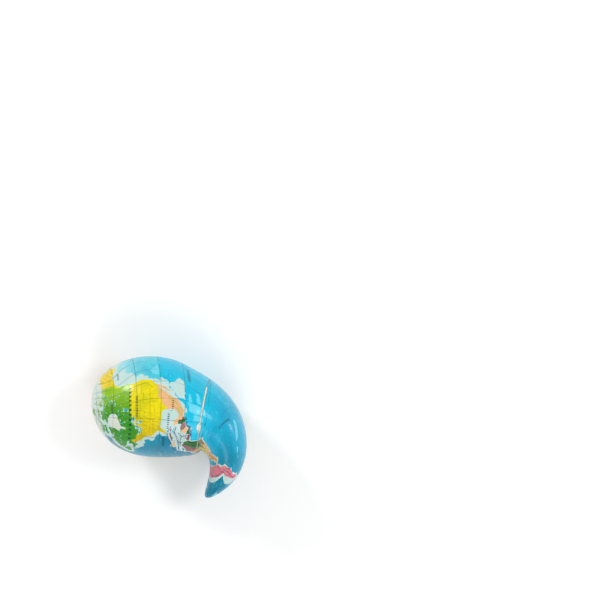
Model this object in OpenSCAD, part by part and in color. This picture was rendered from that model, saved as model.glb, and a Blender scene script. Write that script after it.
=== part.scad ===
// Printed foam squeeze ball, modelled in its squeezed shape, lying on its back.
// Every surface is one mapping: a point of the round ball, given by its latitude and its
// turn about the poles, goes to its place on the squeezed ball.

/* [Ball] */
// Diameter of the ball when nothing squeezes it
ball_d = 63; // [50:1:76]
// Thickness of each printed film
film_t = 0.35; // [0.2:0.05:0.4]
// Depth of the dense moulded skin below the print
skin_t = 1.4; // [1:0.1:2.5]
// Clearance between one layer and the next
gap = 0.1; // [0.05:0.01:0.15]

/* [Squeeze] */
// Half width of the open end, where the ball bulges out of the fist
bulge_w = 35; // [30:0.5:37]
// Half depth of the open end
bulge_h = 33; // [28:0.5:34]
// Half width of the tail, which the fist holds
tail_w = 9.5; // [8.5:0.5:12]
// Half depth of the tail
tail_h = 13; // [11:0.5:15]
// Angle that the ball is folded through, in degrees
fold = 98; // [70:1:102]
// Depth of the grooves that the fingers press
finger_d = 3.2; // [0:0.1:4]
// How much of the underside is pressed flat
flat_d = 2; // [1:0.1:3]

/* [Moulding] */
// Half width of the parting line at the equator, in degrees
parting = 1.2; // [0.9:0.1:2]
// Latitude where the pour gate's plug begins
gate_lat = 87; // [85:0.5:88]

/* [Hidden] */

// Scale against the size that the middle line and half widths are written for
drawn_d = 63;
k = ball_d / drawn_d;
// Points round each ring, and degrees of latitude from ring to ring
cols = 60;
lat_step = 6;
// Half the step of the slope's measurement, the last latitude it works at, and the faces' grouping
slope_e = 0.5;
slope_lat = 89;
round_faces = 10;
// Middle line of the squeezed ball, from the bulge's end to the tail's tip
spine = [[-34.5, 3], [-3.5, -2.5], [21, 10], [40, -18], [17.5, -40]] * k;
// Three fingers press behind the front's edge, and the little finger presses into the fold
finger_at = [-0.78, -0.49, -0.2];
finger_z = -0.6;
finger_w = 0.11;
finger_l = 0.4;
last_share = 0.8;
last_at = 0.12;
last_z = 0.3;
last_w = 0.18;
last_l = 0.6;
// Loss of half width and half depth from the bulge to the tail, and how softly it ends
taper_w = 18;
taper_h = 12;
round_w = 3.5;
round_h = 4;
// Turning of the poles towards the front, and the front's stretch across
south_tip = 40;
north_tip = 5;
stretch = 0.4;
// The ball touches down where its half depth has tapered by this much
mid_drop = 8;
mid_z = bulge_h - mid_drop - flat_d;
// Where along the ball the fold begins, and over what length
fold_from = -0.2;
fold_over = 1.05;

// Slit round the gate's plug, in degrees of latitude
gate_slit = 0.4;

skin_top = film_t + gap;
skin_low = skin_top + skin_t;
core_top = skin_low + gap;

function clamped(t) = min(1, max(0, t));
function eased(t) = t * t * (3 - 2 * t);
function soft_max(a, b, r) = (a + b + sqrt((a - b) * (a - b) + r * r)) / 2;
function unit(v) = v / norm(v);

// The middle line is a fourth-order Bezier curve; s runs from -1 to 1 along it.
function on_spine(s) = let (u = (s + 1) / 2, v = 1 - u)
    pow(v, 4) * spine[0] + 4 * u * pow(v, 3) * spine[1] + 6 * u * u * v * v * spine[2]
    + 4 * pow(u, 3) * v * spine[3] + pow(u, 4) * spine[4];
// Direction across the ball at s: straight up at the bulge, turned by the fold at the tail.
function across(s) = let (a = fold * eased(clamped((s - fold_from) / fold_over))) [sin(a), cos(a)];
function half_w(s) = k * soft_max(bulge_w - taper_w * (s + 1), tail_w, round_w);
function half_h(s) = k * soft_max(bulge_h - taper_h * (s + 1), tail_h, round_h);
// A finger's groove is a bell curve along the ball and through its depth, on the inner side only.
function bell(s, at, w, z, mid, l) = exp(-pow((s - at) / w, 2) - pow((z - mid) / l, 2));
function groove(s, n, z) = n >= 0 ? 0 : n * n * k * finger_d * (
    bell(s, finger_at[0], finger_w, z, finger_z, finger_l)
    + bell(s, finger_at[1], finger_w, z, finger_z, finger_l)
    + bell(s, finger_at[2], finger_w, z, finger_z, finger_l)
    + last_share * bell(s, last_at, last_w, z, last_z, last_l));

// A point (along, across, front) of the unit ball goes to the squeezed ball.
function squeezed(s, n, z) = let (xy = on_spine(s) + across(s) * (n * half_w(s) + groove(s, n, z)))
    [xy[0], xy[1], k * mid_z + z * half_h(s)];
// The same by latitude and turn: the front is stretched and each pole tips forward.
function on_ball(lat, turn) = let (
        a = turn + stretch * sin(turn) * 180 / PI,
        tip = lat > 0 ? -north_tip * lat / 90 : -south_tip * lat / 90,
        s = -sin(lat), z = cos(lat) * cos(a))
    squeezed(s * cos(tip) - z * sin(tip), cos(lat) * sin(a), s * sin(tip) + z * cos(tip));
function outward(lat, turn) = let (e = slope_e, c = min(slope_lat, max(-slope_lat, lat)))
    unit(cross(on_ball(c, turn + e) - on_ball(c, turn - e), on_ball(c + e, turn) - on_ball(c - e, turn)));
// A point at a depth below the surface, which the floor under the ball presses flat.
function layer(lat, turn, depth) = let (p = on_ball(lat, turn) - depth * outward(lat, turn))
    [p[0], p[1], max(p[2], depth)];

function ring(row) = [for (i = [0:cols - 1]) layer(row[0], 360 * i / cols, row[1])];
function band(a, b) = [for (i = [0:cols - 1]) let (j = (i + 1) % cols)
    each [[a + i, b + i, b + j], [a + i, b + j, a + j]]];
// Rows of [latitude, depth], joined in turn, with the last row joined to the first.
module closed_band(rows) {
    n = len(rows);
    polyhedron([for (r = rows) each ring(r)],
        [for (r = [0:n - 1]) each band(r * cols, ((r + 1) % n) * cols)], round_faces);
}
// The same, closed at each end by a point at a pole.
module capped_band(first, rows, last) {
    n = len(rows);
    p = n * cols;
    ends = [layer(first[0], 0, first[1]), layer(last[0], 0, last[1])];
    polyhedron([each [for (r = rows) each ring(r)], each ends],
        [each [for (r = [0:n - 2]) each band(r * cols, (r + 1) * cols)],
            each [for (i = [0:cols - 1]) [p, i, (i + 1) % cols]],
            each [for (i = [0:cols - 1]) [p + 1, p - cols + (i + 1) % cols, p - cols + i]]], round_faces);
}
function up(lats, depth) = [for (l = lats) [l, depth]];
function down(lats, depth) = [for (i = [len(lats) - 1:-1:0]) [lats[i], depth]];

south_lats = [each [-90 + lat_step:lat_step:-lat_step], -parting];
north_lats = [parting, each [lat_step:lat_step:90 - lat_step], gate_lat - gate_slit];
skin_lats = [each [-90 + lat_step:lat_step:90 - lat_step], gate_lat - gate_slit];
core_lats = [-90 + lat_step:lat_step:90 - lat_step];

module foam_core() {
    color("ivory") capped_band([-90, core_top], up(core_lats, core_top), [90, core_top]);
}
module moulded_skin() {
    color("beige") capped_band([-90, skin_top],
        concat(up(skin_lats, skin_top), down(skin_lats, skin_low)), [-90, skin_low]);
}
module parting_flash() {
    w = parting / 2;
    color("white") closed_band([[-w, 0], [w, 0], [w, film_t], [-w, film_t]]);
}
module gate_plug() {
    mid = (90 + gate_lat) / 2;
    color("whitesmoke") capped_band([90, skin_low],
        [[mid, skin_low], [gate_lat, skin_low], [gate_lat, 0], [mid, 0]], [90, 0]);
}
module north_film() {
    color("yellowgreen") closed_band(concat(up(north_lats, 0), down(north_lats, film_t)));
}
module south_film() {
    color("deepskyblue") capped_band([-90, 0],
        concat(up(south_lats, 0), down(south_lats, film_t)), [-90, film_t]);
}

foam_core();
moulded_skin();
parting_flash();
gate_plug();
north_film();
south_film();
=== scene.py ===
import math

import bpy
import numpy as np
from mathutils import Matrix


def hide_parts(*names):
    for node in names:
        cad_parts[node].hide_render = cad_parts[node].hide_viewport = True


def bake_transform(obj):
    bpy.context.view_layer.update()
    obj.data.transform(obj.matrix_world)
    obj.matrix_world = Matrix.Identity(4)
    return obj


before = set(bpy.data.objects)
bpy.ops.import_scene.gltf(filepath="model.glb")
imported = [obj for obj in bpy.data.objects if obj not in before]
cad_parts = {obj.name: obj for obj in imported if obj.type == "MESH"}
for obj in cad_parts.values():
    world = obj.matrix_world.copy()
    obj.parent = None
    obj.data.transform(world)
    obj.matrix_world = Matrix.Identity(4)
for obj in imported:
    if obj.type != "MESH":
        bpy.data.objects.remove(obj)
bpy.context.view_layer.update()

mm = 0.001
scene = bpy.context.scene

# the squeezed ball, in the part's own millimetres, by the same mapping as the solid frame
ball = {
    # points of a smooth curve, from the bulge's end to the tail's
    "spine": ((-34.5, 3), (-3.5, -2.5), (21, 10), (40, -18), (17.5, -40)),
    "halfWidth": (35, 18, 9.5, 3.5),  # at the bulge, lost over half the length, at the tail, softness
    "halfDepth": (33, 12, 13, 4),  # the same
    "middleHeight": 23,
    "fold": (98, -0.2, 1.05),  # degrees, where it begins, over what length
    # place, width, depth place, depth length, depth
    "fingers": ((-0.78, 0.11, -0.6, 0.4, 3.2), (-0.49, 0.11, -0.6, 0.4, 3.2), (-0.2, 0.11, -0.6, 0.4, 3.2),
                (0.12, 0.18, 0.3, 0.6, 2.56)),
    "poleTip": (5, 40),  # degrees that the north and south pole tip to the front
    "frontStretch": 0.4,  # radians that the front spreads to the sides
    "frontLongitude": -104,
}


def eased(t):
    # three times the square less twice the cube, for t held between 0 and 1
    t = np.clip(t, 0, 1)
    return t * t * (3 - 2 * t)


def softMax(a, b, r):
    # the larger of the two, rounded over about r
    return (a + b + np.sqrt((a - b) ** 2 + r * r)) / 2


def ripple(turn, waves):
    # a sum of sines round the ball, each with so many waves a turn, a shift in degrees and a height
    return sum(high * np.sin(np.radians(turn * count + shift)) for count, shift, high in waves)


def squeezed(s, n, z):
    # a point (along, across, front) of a round ball: the middle line's point at s, plus n half widths
    # square to the line, and z half depths above the middle height; each finger takes a bell-shaped dent
    # out of the inner side
    u = ((s + 1) / 2)[..., None]
    p = np.array(ball["spine"], float)
    line = sum(math.comb(4, i) * u ** i * (1 - u) ** (4 - i) * p[i] for i in range(5))
    turnBy, foldFrom, foldOver = ball["fold"]
    angle = np.radians(turnBy * eased((s - foldFrom) / foldOver))
    wide, lost, tail, soft = ball["halfWidth"]
    off = n * softMax(wide - lost * (s + 1), tail, soft)
    inner = np.clip(-n, 0, 1) ** 2
    for place, width, midZ, longZ, deep in ball["fingers"]:
        off = off + inner * deep * np.exp(-((s - place) / width) ** 2 - ((z - midZ) / longZ) ** 2)
    deepHalf, lostZ, tailZ, softZ = ball["halfDepth"]
    up = ball["middleHeight"] + z * softMax(deepHalf - lostZ * (s + 1), tailZ, softZ)
    return np.stack([line[..., 0] + off * np.sin(angle), line[..., 1] + off * np.cos(angle), up], -1)


def onBall(lat, turn):
    # latitude and turn to the round ball, each pole tipped to the front in proportion to latitude, then
    # squeezed; the turn is pushed on by the stretch times its own sine
    north, south = ball["poleTip"]
    latAngle = np.radians(lat)
    turnAngle = np.radians(turn)
    turnAngle = turnAngle + ball["frontStretch"] * np.sin(turnAngle)
    tip = np.radians(-np.where(lat > 0, north, south) * lat / 90)
    s = -np.sin(latAngle)
    n = np.cos(latAngle) * np.sin(turnAngle)
    z = np.cos(latAngle) * np.cos(turnAngle)
    return squeezed(s * np.cos(tip) - z * np.sin(tip), n, s * np.sin(tip) + z * np.cos(tip))


def outward(lat, turn, step=0.4):
    # unit cross product of a small step along the turn and one along latitude
    held = np.clip(lat, -89, 89)
    across = onBall(held, turn + step) - onBall(held, turn - step)
    along = onBall(held + step, turn) - onBall(held - step, turn)
    normal = np.cross(across, along)
    return normal / np.linalg.norm(normal, axis=-1, keepdims=True)


wrinkle = {
    "depth": 0.16, "place": (-4, -60), "reach": (20, 34),  # latitude and turn
    "waves": 0.42, "bends": ((5, 0, 1.3), (11, 40, 0.6)),
    "coarse": 2.1, "fine": 3.7, "fineShare": 0.6,
}


def wrinkles(lat, turn):
    # fine folds where the skin crumples beside the fold: a bell curve over the place, times two sines of
    # a latitude that wanders with the turn
    fromLat, fromTurn = lat - wrinkle["place"][0], turn - wrinkle["place"][1]
    near = np.exp(-(fromLat / wrinkle["reach"][0]) ** 2 - (fromTurn / wrinkle["reach"][1]) ** 2)
    bent = lat * wrinkle["waves"] + ripple(turn, wrinkle["bends"])
    folds = np.sin(bent * wrinkle["coarse"]) + wrinkle["fineShare"] * np.sin(bent * wrinkle["fine"] + 1)
    return wrinkle["depth"] * near * folds


def layer(lat, turn, depth):
    # the point at a depth below the surface, in metres, pressed flat where the ball lies on its back
    p = onBall(lat, turn) - (depth + wrinkles(lat, turn))[..., None] * outward(lat, turn)
    p[..., 2] = np.maximum(p[..., 2], depth)
    return p * mm


def toGlobe(lat, lon):
    # unit vector from the middle of the globe: cosines of both, cosine and sine, and the sine of latitude
    latAngle, lonAngle = np.radians(lat), np.radians(lon)
    level = np.cos(latAngle)
    return np.stack([level * np.cos(lonAngle), level * np.sin(lonAngle), np.sin(latAngle)], -1)


def attribute(piece, name, values):
    # one value, or one vector, stored on every vertex
    vector = values.ndim == 2
    made = piece.data.attributes.new(name, "FLOAT_VECTOR" if vector else "FLOAT", "POINT")
    made.data.foreach_set("vector" if vector else "value", np.asarray(values, np.float32).ravel())


def turnedPiece(name, lats, depths, turns, loop=False, firstPole=None, lastPole=None):
    # rows of points, each row a full turn, joined to the next row; a loop joins the last row to the
    # first, and a pole (latitude, depth) closes an end with one point
    rows, cols = lats.shape
    spread = np.broadcast_to(turns, lats.shape)
    points = layer(lats, spread, depths).reshape(-1, 3)
    places = np.stack([lats, spread], -1).reshape(-1, 2)
    here = np.arange(cols)
    beside = (here + 1) % cols
    steps = np.arange(rows if loop else rows - 1)[:, None] * cols
    after = (steps + cols) % (rows * cols)
    corners = [steps + here, steps + beside, after + beside, after + here]
    faces = np.stack(corners, -1).reshape(-1, 4).tolist()
    for end, row in ((firstPole, 0), (lastPole, rows - 1)):
        if end is None:
            continue
        top, ring = len(points), row * cols
        tip = layer(np.array([float(end[0])]), np.zeros(1), np.array([float(end[1])]))
        points = np.concatenate([points, tip])
        places = np.concatenate([places, [[end[0], 0]]])
        first, second = (here, beside) if row else (beside, here)
        faces += np.stack([np.full(cols, top), ring + first, ring + second], -1).tolist()
    mesh = bpy.data.meshes.new(name)
    mesh.from_pydata(points.tolist(), [], faces)
    mesh.update()
    mesh.polygons.foreach_set("use_smooth", np.ones(len(mesh.polygons), bool))
    piece = bpy.data.objects.new(name, mesh)
    scene.collection.objects.link(piece)
    attribute(piece, "globe", toGlobe(places[:, 0], ball["frontLongitude"] - places[:, 1]))
    return piece, places[:, 0], places[:, 1]


# The map that the films are printed with: outlines in degrees (east, north), drawn from general
# geography, by ink
green = [
    # mainland Canada, then its islands
    [(-141, 69.7), (-141, 60.4), (-137, 59.3), (-133.5, 58.5), (-130.1, 56.2), (-130.3, 54), (-128, 52),
     (-127.5, 50.8), (-124, 49.5), (-123, 48.9), (-95.2, 48.9), (-94.6, 48.7), (-92, 48.2), (-89.5, 48),
     (-88.3, 48.6), (-86, 48.7), (-84.8, 47.3), (-84.4, 46.5), (-83, 46), (-81, 46), (-80, 45),
     (-81.5, 44.5), (-81.7, 43.3), (-82.8, 42), (-80.5, 42.5), (-79, 43), (-79, 43.6), (-76.5, 44.1),
     (-75, 45), (-71.5, 45), (-70.3, 46.2), (-69, 47.4), (-67.8, 47), (-67.2, 45.2), (-64.8, 45.6),
     (-66, 44.2), (-65.5, 43.5), (-63.5, 44.6), (-61, 45.3), (-60, 46.2), (-61.5, 46), (-64.5, 46.3),
     (-64.8, 47.5), (-64.3, 49), (-66.5, 49.2), (-71, 47), (-67, 49.5), (-66, 50.2), (-60, 50.2),
     (-57, 51.5), (-55.8, 52.5), (-58, 54.8), (-61.7, 57), (-64.5, 60.3), (-66, 58.8), (-68.5, 58.6),
     (-69.8, 61), (-75, 62.3), (-78, 62.4), (-77.5, 60), (-78.5, 58.8), (-76.7, 57), (-76.6, 55.8),
     (-79.5, 54.7), (-79, 52), (-79.8, 51.2), (-82, 52.9), (-82.3, 55), (-86, 55.7), (-90, 57),
     (-92.7, 57.5), (-94.5, 58.8), (-94.5, 61), (-92, 62.7), (-87, 64.2), (-87, 66.2), (-82, 66.8),
     (-82, 68.5), (-85, 69.5), (-88, 68.5), (-90, 69), (-92.5, 71.5), (-95, 71.7), (-96, 68.5),
     (-100, 67.8), (-105, 68.3), (-109, 67.8), (-114, 68.2), (-115.5, 69.2), (-125, 70), (-134, 69.5)],
    [(-59.3, 47.7), (-56, 46.8), (-53.2, 46.7), (-53, 48), (-55.6, 51.5), (-57.5, 50.3)],
    [(-123.5, 48.5), (-125, 48.9), (-128, 50.7), (-125.5, 50.1)],
    [(-61.5, 66.6), (-64, 65.2), (-68, 66.3), (-65, 62.7), (-68, 62.6), (-74, 64.6), (-78, 65),
     (-74, 66.7), (-73, 68.2), (-79, 70), (-86, 70), (-89.5, 71), (-86, 73.7), (-80.8, 73.6),
     (-75, 72.2), (-67, 68.5)],
    [(-105.2, 69), (-113, 68.6), (-117, 70), (-112.5, 70.7), (-119, 71.5), (-117.5, 73), (-105, 72.7),
     (-101.5, 70)],
    [(-121, 71.5), (-125.5, 72.2), (-123.5, 74.3), (-117.5, 73.7)],
    [(-76, 76.6), (-89, 76.4), (-88, 78.2), (-95, 79.5), (-91, 81.7), (-75, 83), (-62, 82.5),
     (-68, 80.3)],
    [(-90.5, 72.8), (-95, 72), (-102, 72.5), (-100, 73.8), (-92, 74)],
    [(-97.5, 75), (-106, 75.2), (-117, 75.5), (-112, 76.5), (-100, 76.6)],
    [(-80.5, 63.9), (-86, 63.7), (-86.5, 65.8), (-83, 65)],
    # north-west Africa, the Congo, Iran, south-east Asia
    [(-9.8, 30), (-6, 35.8), (0, 36), (9.8, 37.3), (11, 33.5), (9.5, 30.3), (11.9, 23.5), (5, 19.5),
     (-8.7, 27.3), (-13, 27.7)],
    [(11.5, 7), (16, 7.5), (24, 8.8), (30, 9.8), (31, 4), (29.5, -4.4), (28.5, -8.5), (30, -11.8),
     (25, -11.5), (22, -7.5), (16.5, -5.8), (12.2, -5.8), (8.8, -0.8), (9.6, 4)],
    [(44.5, 39.7), (48.5, 38.4), (53.8, 37), (61, 36.5), (61.5, 31.5), (63, 27.2), (61.6, 25.2),
     (57, 26.9), (51.5, 27.8), (48.5, 30.2), (46, 33)],
    [(98, 24), (101.5, 21.3), (105.3, 23), (108, 21.5), (105.8, 19), (109.3, 12.5), (106.7, 10.3),
     (104.8, 8.7), (103, 11), (100.8, 13.3), (99.2, 10.5), (100.5, 7), (103.5, 1.5), (101.3, 3),
     (98.3, 8), (98.6, 12), (97, 16.8), (94.4, 16), (94, 18.8), (92.3, 21), (94, 24), (97.5, 28)],
]
yellow = [
    # the contiguous United States
    [(-124.7, 48.4), (-123, 49), (-95.2, 49), (-92, 48.2), (-89.6, 48), (-92, 46.7), (-90.5, 46.9),
     (-88, 47), (-85, 46.6), (-84.5, 46), (-86.5, 45.9), (-87.8, 44.8), (-87.7, 42), (-86.5, 42),
     (-86.4, 43.8), (-85, 45.7), (-83.5, 45.2), (-83.9, 43.8), (-82.5, 43), (-83.3, 41.8), (-81, 41.6),
     (-79, 42.8), (-79, 43.3), (-76.4, 43.5), (-75, 45), (-71.5, 45), (-70.3, 46.2), (-69.2, 47.4),
     (-67.8, 47), (-67, 44.8), (-70.5, 43.4), (-70, 41.7), (-74, 40.7), (-75.3, 38.5), (-76, 37),
     (-75.6, 35.3), (-79.2, 33.2), (-81.2, 31.7), (-81.3, 30), (-80.2, 27.2), (-80.4, 25.3),
     (-81.7, 25.9), (-82.8, 28), (-83.9, 29.9), (-85.3, 29.7), (-89.5, 30.3), (-89.2, 29.1), (-91, 29.3),
     (-94, 29.7), (-96.5, 28.5), (-97.4, 27), (-97.2, 25.9), (-99.1, 26.4), (-100.4, 28.4),
     (-102.4, 29.8), (-103.3, 29), (-104.7, 29.8), (-106.5, 31.8), (-108.2, 31.8), (-108.2, 31.3),
     (-111, 31.3), (-114.8, 32.5), (-117.1, 32.5), (-118.4, 34), (-120.6, 34.6), (-121.9, 36.6),
     (-124.3, 40.4), (-124, 46.2)],
    # Alaska
    [(-141, 70), (-148, 70.5), (-156.5, 71.3), (-162, 70), (-166, 68.5), (-162, 66.5), (-168, 65.7),
     (-165, 64.5), (-161, 64.5), (-161, 63.5), (-165, 62.5), (-165.5, 61), (-162, 59.5), (-158, 58.7),
     (-158, 57), (-164.5, 54.6), (-160, 55.8), (-156, 57.5), (-153.5, 59.3), (-151, 61), (-148, 60),
     (-144.5, 60.1), (-138.5, 59), (-133, 57), (-130, 55.2), (-130.2, 56.2), (-133.5, 58.5),
     (-136.5, 59.6), (-141, 60.6)],
    # Brazil, Spain and Portugal
    [(-51.7, 4.2), (-50, 0.5), (-46, -1), (-41.5, -3), (-37, -4.8), (-34.9, -7.5), (-39, -14),
     (-39.3, -18), (-41, -22), (-48.5, -26), (-49, -28.8), (-52.5, -33.3), (-57.5, -30.2), (-54, -27),
     (-54.5, -24), (-57.8, -22), (-58, -18), (-60.2, -16), (-65.3, -10.5), (-70.5, -11), (-73.5, -7.5),
     (-70, -4.3), (-69.9, 0.5), (-67, 1.2), (-64.2, 1.5), (-63.5, 3.8), (-60.5, 5), (-58.5, 1.4),
     (-54.5, 2.3)],
    [(-9.3, 43), (-1.8, 43.4), (3.2, 42.3), (0, 39.5), (-0.8, 37.8), (-5.5, 36), (-9, 37), (-9.5, 38.8)],
    # China, Arabia, Libya and Egypt, southern Africa, Australia
    [(73.5, 39.5), (80, 42.2), (82, 45.2), (87.7, 49.1), (91, 45.2), (96.5, 42.8), (105, 41.7),
     (112, 43.5), (119.9, 46.7), (117.5, 49.5), (119.9, 53), (127.5, 50), (134.7, 48.3), (131, 43),
     (124.3, 40), (121, 39), (122, 40.6), (118, 39), (119, 37.3), (122.3, 37), (119.2, 35),
     (121.8, 31.5), (121.5, 28.5), (118, 24.5), (113.5, 22.2), (108.2, 21.5), (105.3, 23), (101.5, 21.3),
     (98, 24), (97.5, 28.3), (92, 27.8), (86, 28), (79, 31), (78.5, 34.5)],
    [(36, 36.5), (42.5, 37.2), (46, 33), (48.5, 30.2), (50, 26.8), (51.5, 24.5), (56.3, 26),
     (59.8, 22.5), (55, 17.5), (45, 12.8), (43, 13.2), (42.8, 16.5), (39, 21.5), (35, 28), (34.9, 32)],
    [(11, 33.2), (20, 31), (25, 31.8), (32.3, 31.2), (34.3, 27.5), (37, 22), (25, 22), (25, 20),
     (15, 23), (11.9, 23.5), (9.5, 30.3)],
    [(11.8, -17.2), (25.2, -17.8), (30.3, -15.5), (33, -16), (31.3, -22.3), (32.7, -26), (30.5, -31),
     (25.7, -34), (19.5, -34.7), (17, -30), (14.5, -22.8)],
    [(114, -22), (113.6, -26), (115.7, -31.8), (115.2, -34.3), (118, -35), (123.5, -34), (129, -31.6),
     (134, -32.7), (138.5, -35.6), (140.8, -38), (146.3, -39), (150, -37.4), (153, -32), (153.3, -26),
     (150.8, -23.3), (146.3, -19), (145.3, -15), (142.5, -10.8), (140.8, -17.4), (139, -17.6),
     (135.5, -15), (136.8, -12.2), (132.5, -11.4), (129, -15), (126, -14), (122.2, -18), (119, -20)],
    [(144.8, -40.8), (148.3, -41), (147, -43.5)],
]
peach = [
    # Mexico, Lower California, Nicaragua, Hispaniola
    [(-117.1, 32.5), (-114.8, 32.5), (-111, 31.3), (-108.2, 31.3), (-108.2, 31.8), (-106.5, 31.8),
     (-104.7, 29.8), (-103.3, 29), (-102.4, 29.8), (-100.4, 28.4), (-99.1, 26.4), (-97.2, 25.9),
     (-97.8, 22.5), (-97, 20.3), (-96, 19), (-94.5, 18.2), (-92, 18.6), (-90.6, 19.8), (-90.3, 21),
     (-87, 21.5), (-87.5, 19.5), (-88.3, 18.4), (-91, 17.8), (-90.5, 16.1), (-91.8, 16), (-92.2, 14.6),
     (-94, 16.1), (-96.5, 15.7), (-99, 16.6), (-102, 18), (-104.3, 19), (-105.6, 20.5), (-105.4, 22),
     (-107.5, 24.5), (-109.4, 26.6), (-111, 28), (-112.8, 30), (-114.7, 31.7)],
    [(-117.1, 32.5), (-114.8, 32.3), (-114.5, 30.5), (-112.5, 27.7), (-110.5, 24.5), (-109.5, 23),
     (-111, 24.3), (-112.2, 25.8), (-114.5, 27.2), (-115, 28.5), (-115.8, 30.3)],
    [(-87.6, 13), (-86.7, 13.4), (-85, 14.2), (-83.3, 15), (-83.6, 11), (-85.7, 11.1)],
    [(-74.4, 18.5), (-71.5, 17.7), (-68.4, 18.5), (-69.8, 19.8), (-73.2, 19.9)],
    # Peru
    [(-80.3, -3.4), (-79, -4.9), (-76, -2.5), (-75.2, -0.1), (-72.5, -2.4), (-69.9, -4.3), (-73.5, -7.5),
     (-70.5, -11), (-69, -12.5), (-69, -15.5), (-70.4, -18.3), (-76, -14), (-79, -8), (-81.2, -6)],
    # Chile, Italy, the western Sahara, Angola and Zambia, Russia, Korea, Sumatra, Java
    [(-70.4, -18.3), (-69.5, -17.5), (-67.8, -22.8), (-68.5, -27), (-70, -33), (-71.5, -39),
     (-71.8, -46), (-72.5, -50.5), (-68.5, -52.5), (-67, -55.5), (-71.5, -54), (-75.3, -51),
     (-75, -46.5), (-73, -41.8), (-73.6, -37), (-71.5, -32), (-70.6, -25)],
    [(7.5, 43.8), (6.8, 45.8), (10.5, 46.8), (13.7, 46), (12.3, 44.5), (16, 41.8), (18.5, 40),
     (16.5, 38), (15.7, 40), (12, 42), (10, 44)],
    [(-17, 21), (-13, 27.7), (-8.7, 27.3), (5, 19.5), (11.9, 23.5), (15, 23), (13.5, 13.7), (4, 13.5),
     (-4, 14), (-11.5, 12.5), (-16.5, 16)],
    [(12.2, -5.8), (16.5, -5.8), (22, -7.5), (25, -11.5), (30, -11.8), (28.5, -8.5), (33, -9.4),
     (30.3, -15.5), (25.2, -17.8), (11.8, -17.2), (13.7, -11)],
    [(28, 70), (33, 69.3), (41, 66.5), (33, 66.7), (35, 64.2), (40, 64.7), (44, 66.2), (44, 68),
     (54, 68.5), (60, 69.7), (68, 68.2), (67, 72.8), (73, 71.5), (73, 67.5), (78, 72), (87, 75),
     (104, 77.5), (113, 74), (128, 72.5), (140, 72.5), (152, 71), (161, 69.5), (171, 70), (180, 69),
     (190, 66.2), (187, 64.5), (180, 64.8), (179, 62.5), (170, 60), (163.5, 60), (162, 56.5),
     (156.7, 51), (155.6, 56.5), (163, 61), (155, 59.3), (142, 59.3), (135.2, 54.6), (141, 53),
     (140.3, 48.5), (135.5, 44.5), (131, 43), (134.7, 48.3), (127.5, 50), (119.9, 53), (117.5, 49.5),
     (108, 49.5), (98, 50.3), (98, 52), (87.5, 49.2), (80, 50.8), (76.5, 54), (70, 55.3), (61.5, 54),
     (60, 51), (48.5, 50.5), (49, 46), (47.5, 42), (37.5, 45), (39.5, 49.8), (33, 52), (31, 53.5),
     (27.5, 57), (28, 60), (31, 62.8), (29.5, 67)],
    [(124.3, 40), (130, 42.3), (127.5, 39.5), (129.4, 36.5), (126.4, 34.5), (126.5, 37.5)],
    [(95.3, 5.6), (100.5, 2), (106, -3), (105.7, -5.9), (101, -2.5)],
    [(105.5, -6.8), (110, -6.7), (114.4, -7.8), (106.5, -7.4)],
]
darkGreen = [
    # Guatemala, Costa Rica
    [(-92.2, 14.6), (-91.8, 16), (-90.5, 16.1), (-91, 17.8), (-88.3, 18.4), (-88.6, 15.8), (-89.4, 14.4),
     (-90, 13.8)],
    [(-85.7, 11.1), (-83.6, 10.9), (-82.6, 9.5), (-83, 8.3), (-85.8, 10)],
    # Colombia, Uruguay
    [(-77.4, 8.6), (-75.5, 10.7), (-73, 11.4), (-71.5, 12.3), (-72.5, 9), (-70, 7), (-67.5, 6.2),
     (-67.8, 2.8), (-69.9, -4.2), (-72.5, -2.5), (-75.2, 0), (-78.9, 1.3), (-77.3, 4), (-77.5, 7)],
    [(-57.6, -30.2), (-53.5, -32.5), (-53.4, -34), (-58.3, -34)],
    # France, Ukraine, Kazakhstan and its neighbours, Pakistan, Sudan, Madagascar, New Guinea
    [(-1.8, 43.4), (3.2, 42.3), (7.5, 43.8), (6, 46.3), (8, 49), (2.5, 51), (-1.8, 48.6), (-4.7, 48.3),
     (-1.2, 46)],
    [(24, 54.5), (31, 53.5), (33, 52), (39.5, 49.8), (38, 47.2), (34, 46), (30.5, 46.2), (28, 48),
     (22.5, 48.5)],
    [(48.5, 50.5), (60, 51), (61.5, 54), (70, 55.3), (76.5, 54), (80, 50.8), (87.5, 49.2), (82, 45.2),
     (80, 42.2), (74.5, 40), (73.5, 37.5), (68, 37), (61, 35.3), (54, 37.3), (53, 41.5), (51, 44.8),
     (49, 46)],
    [(61, 35.3), (68, 37), (73.5, 37.5), (74, 34), (74, 31), (70.5, 25.5), (67, 24.8), (61.6, 25.2),
     (63, 27.2), (61.5, 31.5)],
    [(15, 23), (25, 20), (25, 22), (37, 22), (38.5, 18), (36, 14), (34, 10.5), (30, 9.8), (24, 8.8),
     (16, 7.5), (14.5, 12), (13.5, 13.7)],
    [(49.3, -12), (50.3, -15.8), (47, -25), (44, -24.5), (43.5, -21), (44.4, -16.3)],
    [(131, -0.8), (134, -3.2), (138, -1.6), (144.5, -4), (147.8, -6.3), (150.5, -10.5), (147, -9.5),
     (143, -9.2), (138.5, -8.2), (137.5, -5), (133, -4)],
]
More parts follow.
